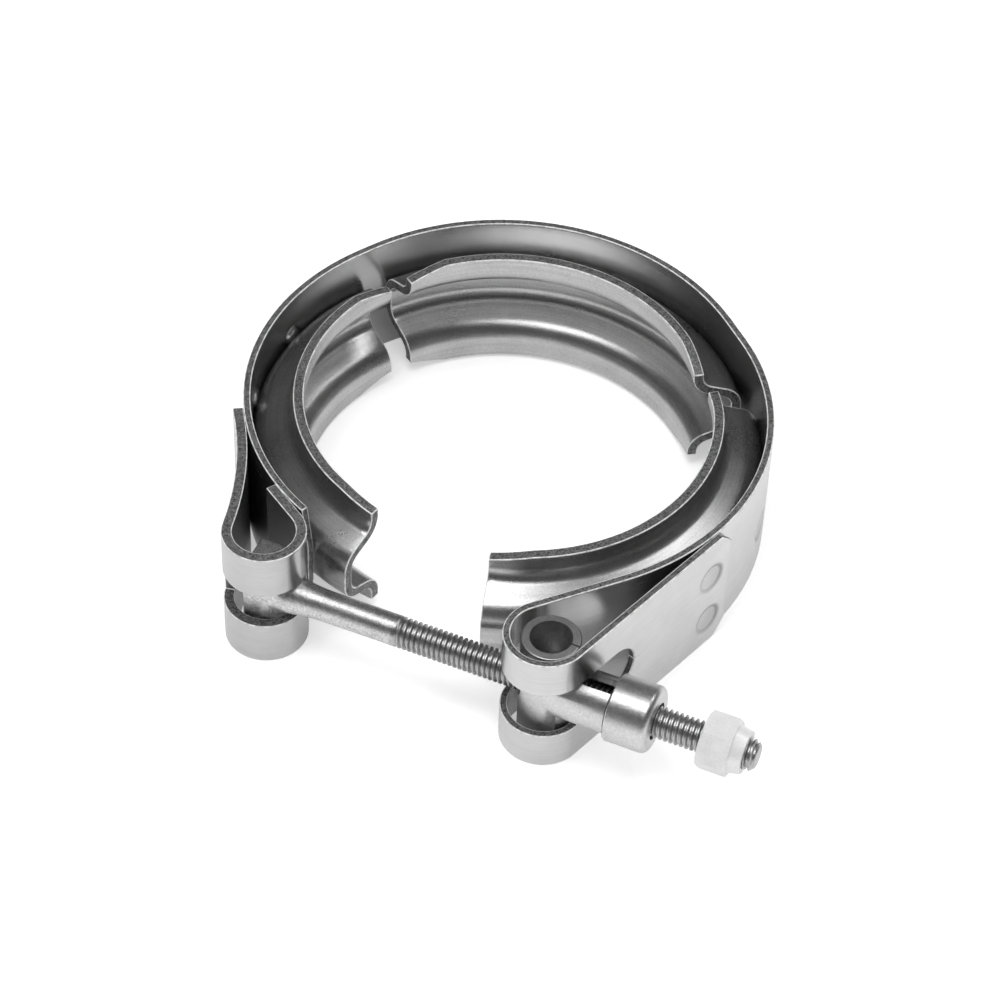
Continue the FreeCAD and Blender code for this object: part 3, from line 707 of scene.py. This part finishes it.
class ClampBand(bpy.types.Operator):
    """Rolls the band's strip, with its loop folded back round the trunnion"""

    bl_idname = "clamp.make_band"
    bl_label = "Band"

    # Middles of the welds: on the folded leg, outside on the ring, and as bumps inside it
    LEG_WELDS = ((0.0504, -0.0218, 0.0045), (0.0504, -0.0218, -0.0066))
    RING_WELD = (0.0519, 0.0015, -0.0030)
    INNER_WELDS = ((-0.0466, 0.0034, 0.0042), (-0.0445, -0.0150, 0.0048),
                   (0.0500, 0.0020, 0.0046))
    ROWS = 38
    # Width of the rounded corners, which carry the painted highlight
    HIGHLIGHT_EDGE = 0.20 * MM

    def execute(self, context):
        band = context.scene.clamp_band
        _, right, left = arc_centres(band)
        bend = TRUNNION_AXIS.xy - Vector((band.shift_along, band.shift_across))
        middle = band.radius - band.sheet / 2.0
        loop = band.loop_inside + band.sheet / 2.0
        leg = band.radius + band.lap_gap + band.sheet / 2.0
        reach, turn = bearing(right, bend)
        leave = turn + math.acos((middle + loop) / reach)
        land = turn + math.acos((leg - loop) / reach)
        lap_end = land + band.lap
        route = Route([
            (left, middle, band.free_end, band.left_joint),
            ((0.0, 0.0), middle, band.left_joint, band.right_joint),
            (right, middle, band.right_joint, leave),
            (bend, loop, leave + math.pi, land + math.tau),
            (right, leg, land, lap_end),
        ])
        start, end = route.bends[3]
        round_end = band.slot_height / 2.0
        inner = start - band.slot_back + round_end
        outer = end + band.slot_reach - round_end

        def slot(along):
            over = max(inner - along, along - outer, 0.0)
            return math.sqrt(max(round_end ** 2 - over ** 2, 0.0))

        def half(along):
            full = band.width / 2.0
            return min(cut_end(full, band.end_cut_height, band.end_cut, along),
                       cut_end(full, band.corner, band.corner, route.length - along))

        def dent(middle, side, radius, depth, *span):
            """A dent on one side of the strip, where that comes nearest to a middle."""
            x, y, z = middle
            return route.nearest(Vector((x, y)), *span), z, side, radius, depth

        def darkening(along, side):
            """Painted shade: the inside of the ring is darker than the rest of the strip."""
            return band.painted_inside_shade if side < 0 and along < ring_end else 0.0

        ring_end = route.bends[2][1]
        turns = [math.radians(9.0 * step) for step in range(11)]
        marks = [inner - round_end * math.cos(turn) for turn in turns]
        marks += [outer + round_end * math.cos(turn) for turn in turns]
        marks += [band.end_cut, route.length - band.corner]
        weld = (band.weld_radius, band.weld_depth)
        dents = [dent(middle, -1, *weld, end + band.slot_reach, 400) for middle in self.LEG_WELDS]
        dents.append(dent(self.RING_WELD, 1, *weld))
        dents += [dent(middle, -1, band.bump_radius, -band.bump_height)
                  for middle in self.INNER_WELDS]
        bm = strip_mesh(route, band.sheet, half, self.ROWS, slot, dents=dents, marks=marks,
                        darkening=darkening)
        round_corners(bm, self.HIGHLIGHT_EDGE)
        new_piece("band_strip", bm, strip_steels(context.scene.clamp_steel), "band", "outer_band")
        return {"FINISHED"}


class ClampStrap(bpy.types.Operator):
    """Folds the strap round the bolt's head"""

    bl_idname = "clamp.make_strap"
    bl_label = "Bolt strap"

    ROWS = 16
    # Width of the rounded corners, which carry the painted highlight
    HIGHLIGHT_EDGE = 0.17 * MM

    def execute(self, context):
        band = context.scene.clamp_band
        strap = context.scene.clamp_strap
        left = arc_centres(band)[2]
        centre = HEAD_AXIS.xy - Vector((strap.shift_along, -strap.shift_across))
        ring = band.radius + strap.sheet / 2.0
        bend = strap.inside + strap.sheet / 2.0
        reach, turn = bearing(left, centre)
        along = reach * math.cos(turn - strap.leave)
        swing = (bend ** 2 - ring ** 2 + 2.0 * ring * along - reach ** 2)
        swing /= 2.0 * (ring - along - bend)
        swing_centre = polar(left, ring + swing, strap.leave)
        meet = bearing(centre, swing_centre)[1] % math.tau
        back = turn % math.tau - math.acos((ring + bend) / reach)
        route = Route([
            (left, ring, strap.free_end, strap.leave),
            (swing_centre, swing, strap.leave + math.pi, meet + math.pi),
            (centre, bend, meet, back + math.pi),
            (left, ring, back, back - strap.short_lap),
        ])
        start, end = route.bends[2]
        slot_start = max(start + bend * (strap.slot_start - meet), start)
        slot_end = min(start + bend * (strap.slot_end - meet), end)

        def half(at):
            return cut_end(band.width / 2.0, strap.end_cut_height, strap.end_cut, at)

        bm = strip_mesh(route, strap.sheet, half, self.ROWS, lambda at: strap.slot_height / 2.0,
                        bridged=lambda at: not slot_start < at < slot_end,
                        marks=[slot_start, slot_end, strap.end_cut],
                        darkening=lambda at, side: strap.darkening)
        round_corners(bm, self.HIGHLIGHT_EDGE)
        new_piece("bolt_strap", bm, strip_steels(context.scene.clamp_steel), "band", "t_bolt_loop")
        return {"FINISHED"}


# ---- the V retainers


class ClampRetainers(bpy.types.Operator):
    """Presses the three V retainers and lays them in the band"""

    bl_idname = "clamp.make_retainers"
    bl_label = "V retainers"

    # Node, which of the band's arcs it lies in, its ends in degrees, and the drop of its lips there
    LAYOUT = (
        ("retainer_rear", 0, (34.0, 145.0), ("taper", "taper")),
        ("retainer_left", 2, (147.5, 257.5), ("taper", "taper_front")),
        ("retainer_right", 1, (-75.5, 34.5), ("taper_front", "taper_front")),
    )
    COLUMN = 1.3 * MM
    TAPER_COLUMNS = 6
    # Width of the rounded corners, which carry the painted highlight
    HIGHLIGHT_EDGE = 0.20 * MM

    def execute(self, context):
        centres = arc_centres(context.scene.clamp_band)
        shape = context.scene.clamp_retainers
        for node, arc, ends, drops in self.LAYOUT:
            self.make(context, node, centres[arc], [math.radians(end) for end in ends],
                      [getattr(shape, drop) for drop in drops])
        return {"FINISHED"}

    def profile(self, band, shape):
        """The middle line of the V, in radius and height, its lips' radius and their length."""
        crown = band.radius - band.sheet - shape.sheet / 2.0
        lip = crown - shape.depth
        bend = shape.bend + shape.sheet / 2.0
        slope = shape.slope
        reach = bend * math.tan((math.pi / 2.0 - slope) / 2.0)
        high = shape.corner + reach
        low = shape.corner - shape.depth * math.tan(slope) - reach
        half = shape.height / 2.0
        inner, outer, quarter = lip + bend, crown - bend, math.pi / 2.0
        route = Route([
            ((lip, half), 0.0, 0.0, 0.0),
            ((inner, high), bend, math.pi, math.pi + quarter - slope),
            ((outer, low), bend, quarter - slope, 0.0),
            ((outer, -low), bend, 0.0, slope - quarter),
            ((inner, -high), bend, quarter + slope, math.pi),
            ((lip, -half), 0.0, 0.0, 0.0),
        ])
        return route, lip, half - high

    def make(self, context, node, centre, ends, drops):
        band = context.scene.clamp_band
        shape = context.scene.clamp_retainers
        look = context.scene.clamp_steel
        route, lip, straight = self.profile(band, shape)
        run = (ends[1] - ends[0]) * lip
        near = [shape.taper_run * step / self.TAPER_COLUMNS
                for step in range(self.TAPER_COLUMNS + 1)]
        apart = shape.taper_run * 1.05
        count = math.ceil(run / self.COLUMN)
        columns = [run * step / count for step in range(count + 1)]
        columns = [at for at in columns if apart < at < run - apart]
        columns = near + columns + [run - at for at in reversed(near)]
        rows = route.stations()

        def place(at, row, side):
            drop = max(drops[0] * (1.0 - at / shape.taper_run),
                       drops[1] * (1.0 - (run - at) / shape.taper_run), 0.0)
            level = row
            if row < straight:
                level = drop + row * (straight - drop) / straight
            elif row > route.length - straight:
                level = route.length - drop - (route.length - row) * (straight - drop) / straight
            point, side_way = route.at(level)
            face = point + side_way * side * shape.sheet / 2.0
            ground = polar(centre, face.x, ends[0] + at / lip)
            flat = Vector((at, row, side * shape.sheet))
            return Vector((ground.x, ground.y, face.y)), flat, 0.0

        bm = sheet_mesh(columns, rows, place)
        round_corners(bm, self.HIGHLIGHT_EDGE)
        materials = [steel("pressed_steel", pressed_steel, look.retainer, look.retainer_gloss),
                     *strip_steels(look)[1:]]
        new_piece(node.replace("retainer", "v_segment"), bm, materials, "band", node)


# ---- turned and worked solids


def ring(bm, count, place):
    """Vertices round the X axis; place(step) gives each one's x and radius."""
    verts = []
    for step in range(count):
        x, radius = place(step)
        turn = math.tau * step / count
        verts.append(bm.verts.new((x, radius * math.cos(turn), radius * math.sin(turn))))
    return verts


def skin(bm, rings, shift=0):
    """Faces between rings. With a shift, the rows run on that far after a whole turn."""
    count = len(rings[0])
    for row in range(len(rings) - 1):
        for step in range(count):
            low = row if step < count - 1 else row + shift
            if low + 1 < len(rings):
                after = (step + 1) % count
                bm.faces.new((rings[row][step], rings[low][after], rings[low + 1][after],
                              rings[row + 1][step]))


def turned(profile, count=96):
    """A closed solid turned about the X axis from (x, radius) points, flat at both ends."""
    bm = bmesh.new()
    rings = [ring(bm, count, lambda step, at=at: at) for at in profile]
    skin(bm, rings)
    bm.faces.new(rings[0])
    bm.faces.new(rings[-1])
    bmesh.ops.recalc_face_normals(bm, faces=bm.faces)
    return bm


def rod(start, end, size):
    """A plain round of a diameter along the X axis, to join or to bore with."""
    return turned([(start, size / 2.0), (end, size / 2.0)])


def block(low, high):
    """A box between two corners, to cut with."""
    bm = bmesh.new()
    bmesh.ops.create_cube(bm, size=1.0)
    for vert in bm.verts:
        vert.co = Vector([near if part < 0.0 else far
                          for near, far, part in zip(low, high, vert.co)])
    return bm


def worked(stock, materials, joined, cut=()):
    """Stock after some solids are joined to it and then others are cut from it."""
    scraps = [new_solid("scrap", bm, materials) for bm in (stock, *joined, *cut)]
    for place, tool in enumerate(scraps[1:]):
        step = scraps[0].modifiers.new("Step", "BOOLEAN")
        step.operation = "UNION" if place < len(joined) else "DIFFERENCE"
        step.solver = "EXACT"
        step.object = tool
    bpy.context.view_layer.update()
    result = scraps[0].evaluated_get(bpy.context.evaluated_depsgraph_get())
    bm = bmesh.new()
    bm.from_mesh(result.to_mesh())
    for scrap in scraps:
        bpy.data.objects.remove(scrap)
    return bm


# ---- the T-bolt


class ClampBolt(bpy.types.Operator):
    """Forges the T-bolt's head and neck and rolls its thread"""

    bl_idname = "clamp.make_bolt"
    bl_label = "T-bolt"

    # Height of the thread along one pitch, and the points round the shank
    WAVE = (0.0, 0.0, 0.5, 1.0, 1.0, 1.0, 0.5, 0.0)
    ROUND = 40

    def execute(self, context):
        bolt = context.scene.clamp_bolt
        look = context.scene.clamp_steel
        materials = [steel(name, grained_steel, level, look.bolt_gloss, mottle)
                     for name, level, mottle in (
                         ("forged_steel", look.bolt, look.bolt_mottle),
                         ("rolled_thread", look.thread, look.thread_mottle))]
        bm = worked(self.head(bolt), materials, [self.shank(bolt)])
        bmesh.ops.translate(bm, verts=bm.verts, vec=HEAD_AXIS)
        new_piece("bolt_steel", bm, materials, "t_bolt", "t_bolt")
        return {"FINISHED"}

    def head(self, bolt):
        """A flat back, a round nose, and rounded edges all round."""
        nose = bolt.head_width / 2.0
        outline = [polar((0.0, 0.0), nose, math.radians(-90.0 + 7.5 * step)) for step in range(25)]
        outline += [Vector((-bolt.head_back, nose)), Vector((-bolt.head_back, -nose))]
        bm = bmesh.new()
        rings = [[bm.verts.new((*point, side * bolt.head_height / 2.0)) for point in outline]
                 for side in (-1, 1)]
        for step in range(len(outline)):
            after = (step + 1) % len(outline)
            bm.faces.new((rings[0][step], rings[0][after], rings[1][after], rings[1][step]))
        for cap in rings:
            bm.faces.new(cap)
        round_corners(bm, bolt.head_round, segments=3, material=0, turn=40.0)
        return bm

    def shank(self, bolt):
        """Neck, flare, plain shank and a rolled thread whose crests follow the helix."""
        plain = bolt.shank / 2.0
        neck = bolt.neck / 2.0
        nose = bolt.head_width / 2.0
        count, per_turn = self.ROUND, len(self.WAVE)
        start, end, pitch = bolt.thread_start, bolt.tip, bolt.pitch
        flare = [(nose + (bolt.flare - nose) * share, plain + (neck - plain) * (1.0 - share) ** 2)
                 for share in [step / 8.0 for step in range(1, 9)]]
        profile = [(0.0, neck), (nose, neck), *flare, (start - pitch, plain)]
        bm = bmesh.new()
        rings = [ring(bm, count, lambda step, at=at: at) for at in profile]

        def thread(row, step):
            """A point's x and radius: full depth a pitch and a half on, and a bevelled tip."""
            x = start + pitch * (row / per_turn - 2.0 + step / count)
            grown = min(max((x - start) / (1.5 * pitch), 0.0), 1.0)
            radius = plain - bolt.thread_depth * (1.0 - self.WAVE[row % per_turn]) * grown
            x = min(max(x, start - 0.9 * pitch), end)
            return x, min(radius, plain - bolt.tip_bevel + end - x)

        turns = math.ceil((end - start) / pitch) + 4
        helix = [ring(bm, count, lambda step, row=row: thread(row, step))
                 for row in range(turns * per_turn + 1)]
        skin(bm, [*rings, helix[0]])
        skin(bm, helix, shift=per_turn)
        bm.faces.new(rings[0])
        bm.faces.new(helix[-1])
        bmesh.ops.remove_doubles(bm, verts=bm.verts, dist=0.002 * MM)
        bmesh.ops.dissolve_degenerate(bm, edges=bm.edges, dist=0.001 * MM)
        bmesh.ops.recalc_face_normals(bm, faces=bm.faces)
        for face in bm.faces:
            if face.calc_center_median().x > start - 0.5 * pitch:
                face.material_index = 1
        return bm


# ---- trunnion and nut


class ClampTrunnion(bpy.types.Operator):
    """Turns the trunnion's barrel, sleeve and collar, and bores, slots and saws them"""

    bl_idname = "clamp.make_trunnion"
    bl_label = "Trunnion"

    def execute(self, context):
        part = context.scene.clamp_trunnion
        look = context.scene.clamp_steel
        barrel, sleeve, collar = part.barrel / 2.0, part.sleeve / 2.0, part.collar / 2.0
        half, bevel, curve = part.barrel_height / 2.0, part.barrel_bevel, part.collar_round
        saw, slot = part.seam / 2.0, part.slot / 2.0
        shoulder = part.sleeve_length
        end = shoulder + part.collar_length
        stock = turned([(-half, barrel - bevel), (bevel - half, barrel),
                        (half - bevel, barrel), (half, barrel - bevel)])
        bore = rod(-2.0 * half, 2.0 * half, part.barrel_bore)
        for bm in (stock, bore):
            bmesh.ops.rotate(bm, verts=bm.verts, matrix=Matrix.Rotation(math.pi / 2.0, 3, "Y"))
        hoop = [(shoulder, collar - bevel), (shoulder + bevel, collar)]
        hoop += [(end - curve + curve * math.sin(turn), collar - curve + curve * math.cos(turn))
                 for turn in [math.radians(15.0 * step) for step in range(7)]]
        joined = (rod(0.0, shoulder + bevel, part.sleeve), turned(hoop))
        cut = (
            bore,
            rod(0.0, shoulder, part.sleeve_bore),
            rod(0.0, 2.0 * end, part.collar_bore),
            rod(-2.0 * barrel, 0.0, part.entry),
            block((barrel, -slot, 0.0), (shoulder, slot, 2.0 * sleeve)),
            block((shoulder - 2.0 * saw, -slot - part.slit, 0.0), (shoulder, -slot, 2.0 * sleeve)),
            block((0.0, -saw, sleeve), (2.0 * barrel, saw, 2.0 * half)),
            block((0.0, -saw, -2.0 * half), (2.0 * barrel, saw, -sleeve)),
        )
        materials = [steel("trunnion_steel", grained_steel, look.trunnion, look.bolt_gloss,
                           look.trunnion_mottle)]
        bm = worked(stock, materials, joined, cut)
        bmesh.ops.translate(bm, verts=bm.verts, vec=TRUNNION_AXIS)
        new_piece("trunnion_body", bm, materials, "trunnion", "trunnion")
        return {"FINISHED"}


class ClampNut(bpy.types.Operator):
    """Gives the lock nut its plating"""

    bl_idname = "clamp.make_nut"
    bl_label = "Lock nut"

    def execute(self, context):
        look = context.scene.clamp_steel
        frame["nodes"]["lock_nut"].data.materials[0] = steel(
            "nut_plating", plated_steel, look.nut, look.nut_gloss)
        return {"FINISHED"}


# ---- stage


class ClampStage(bpy.types.Operator):
    """Lays the floor, hangs the lamps and sets the camera"""

    bl_idname = "clamp.make_stage"
    bl_label = "Stage"

    FLOOR_REACH = 3.0
    FLOOR_GAP = 0.02 * MM
    # What gloss sees of the room, from the horizon at 0 to overhead at 1
    ROOM = ((0.0, 0.85), (0.12, 0.30), (0.4, 0.09), (0.75, 0.06), (1.0, 0.06))

    def execute(self, context):
        stage = context.scene.clamp_stage
        context.scene.view_settings.view_transform = "Standard"
        self.floor(stage)
        self.world(context, stage)
        self.lamp("soft_key", stage.key, stage.key_size, stage.key_place)
        self.lamp("soft_fill", stage.fill, stage.fill_size, stage.fill_place)
        self.camera(context, stage)
        return {"FINISHED"}

    def floor(self, stage):
        level = CAD_BOX[0].z - self.FLOOR_GAP
        mesh = bpy.data.meshes.new("floor")
        corners = [(x * self.FLOOR_REACH, y * self.FLOOR_REACH, level)
                   for x, y in ((-1, -1), (1, -1), (1, 1), (-1, 1))]
        mesh.from_pydata(corners, [], [(0, 1, 2, 3)])
        graph = Graph(bpy.data.materials.new("pale_floor"))
        camera, gloss, glass = [graph.node("LightPath", f"Is {kind} Ray") for kind in
                                ("Camera", "Glossy", "Transmission")]
        glow = camera * stage.floor_glow + (gloss + glass) * stage.gloss_glow
        paint = graph.node("BsdfPrincipled", "BSDF", None, Base_Color=shade(stage.floor),
                           Roughness=0.9, Specular_IOR_Level=0.0,
                           Emission_Color=WHITE, Emission_Strength=glow)
        graph.node("OutputMaterial", Surface=paint)
        mesh.materials.append(graph.owner)
        new_object("floor", mesh)

    def world(self, context, stage):
        """Plain light all round, white to the camera, and in gloss a room darker overhead."""
        graph = Graph(bpy.data.worlds.new("studio"))
        context.scene.world = graph.owner
        up = graph.node("SeparateXYZ", "Z", None, Vector=graph.node("TexCoord", "Generated"))
        room = graph.ramp(up, *self.ROOM)
        shown, gloss, white = [graph.node("Background", Color=colour, Strength=level) for
                               colour, level in ((WHITE, stage.sky), (room, 1.0), (WHITE, 1.0))]
        for ray, light in (("Glossy", gloss), ("Camera", white)):
            shown = graph.node("MixShader", Fac=graph.node("LightPath", f"Is {ray} Ray"),
                               at_1=shown, at_2=light)
        graph.node("OutputWorld", Surface=shown)

    def lamp(self, name, power, size, place):
        light = bpy.data.lights.new(name, "AREA")
        light.shape = "SQUARE"
        light.size = size
        light.energy = power
        lamp = new_object(name, light)
        lamp.location = place
        lamp.rotation_mode = "QUATERNION"
        lamp.rotation_quaternion = Vector(place).to_track_quat("Z", "Y")

    def camera(self, context, stage):
        """A long lens on the middle of the clamp, turned a little about its own axis."""
        flat, rise, roll = stage.azimuth, stage.elevation, stage.roll
        back = Vector((math.sin(flat) * math.cos(rise), -math.cos(flat) * math.cos(rise),
                       math.sin(rise)))
        level = Vector((math.cos(flat), math.sin(flat), 0.0))
        upright = back.cross(level)
        across = level * math.cos(roll) + upright * math.sin(roll)
        upward = upright * math.cos(roll) - level * math.sin(roll)
        turn = Matrix((across, upward, back)).transposed().to_4x4()
        data = bpy.data.cameras.new("view")
        data.sensor_fit = "HORIZONTAL"
        data.sensor_width = 36.0
        data.lens = stage.lens
        data.clip_start, data.clip_end = 0.02, 20.0
        camera = new_object("view", data)
        camera.matrix_world = Matrix.Translation(stage.aim + back * stage.distance) @ turn
        context.scene.camera = camera


# ---- panel and start

OPERATORS = (ClampStage, ClampBand, ClampStrap, ClampRetainers, ClampBolt, ClampTrunnion, ClampNut)


class ClampPanel(bpy.types.Panel):
    """Lists the pieces of the clamp and their sizes"""

    bl_idname = "VIEW3D_PT_clamp"
    bl_label = "V-Band Clamp"
    bl_space_type = "VIEW_3D"
    bl_region_type = "UI"
    bl_category = "Clamp"

    def draw(self, context):
        for operator in OPERATORS:
            self.layout.operator(operator.bl_idname)
        for name, group in GROUPS.items():
            box = self.layout.box()
            box.label(text=group.__name__)
            for key in group.__annotations__:
                box.prop(getattr(context.scene, name), key)


CLASSES = (*GROUPS.values(), *OPERATORS, ClampPanel)


def register():
    for one in CLASSES:
        bpy.utils.register_class(one)
    for name, group in GROUPS.items():
        setattr(bpy.types.Scene, name, PointerProperty(type=group))


def unregister():
    for name in GROUPS:
        delattr(bpy.types.Scene, name)
    for one in reversed(CLASSES):
        bpy.utils.unregister_class(one)


def main():
    register()
    for operator in OPERATORS:
        getattr(bpy.ops.clamp, operator.bl_idname.split(".")[1])()


if __name__ == "__main__":
    main()
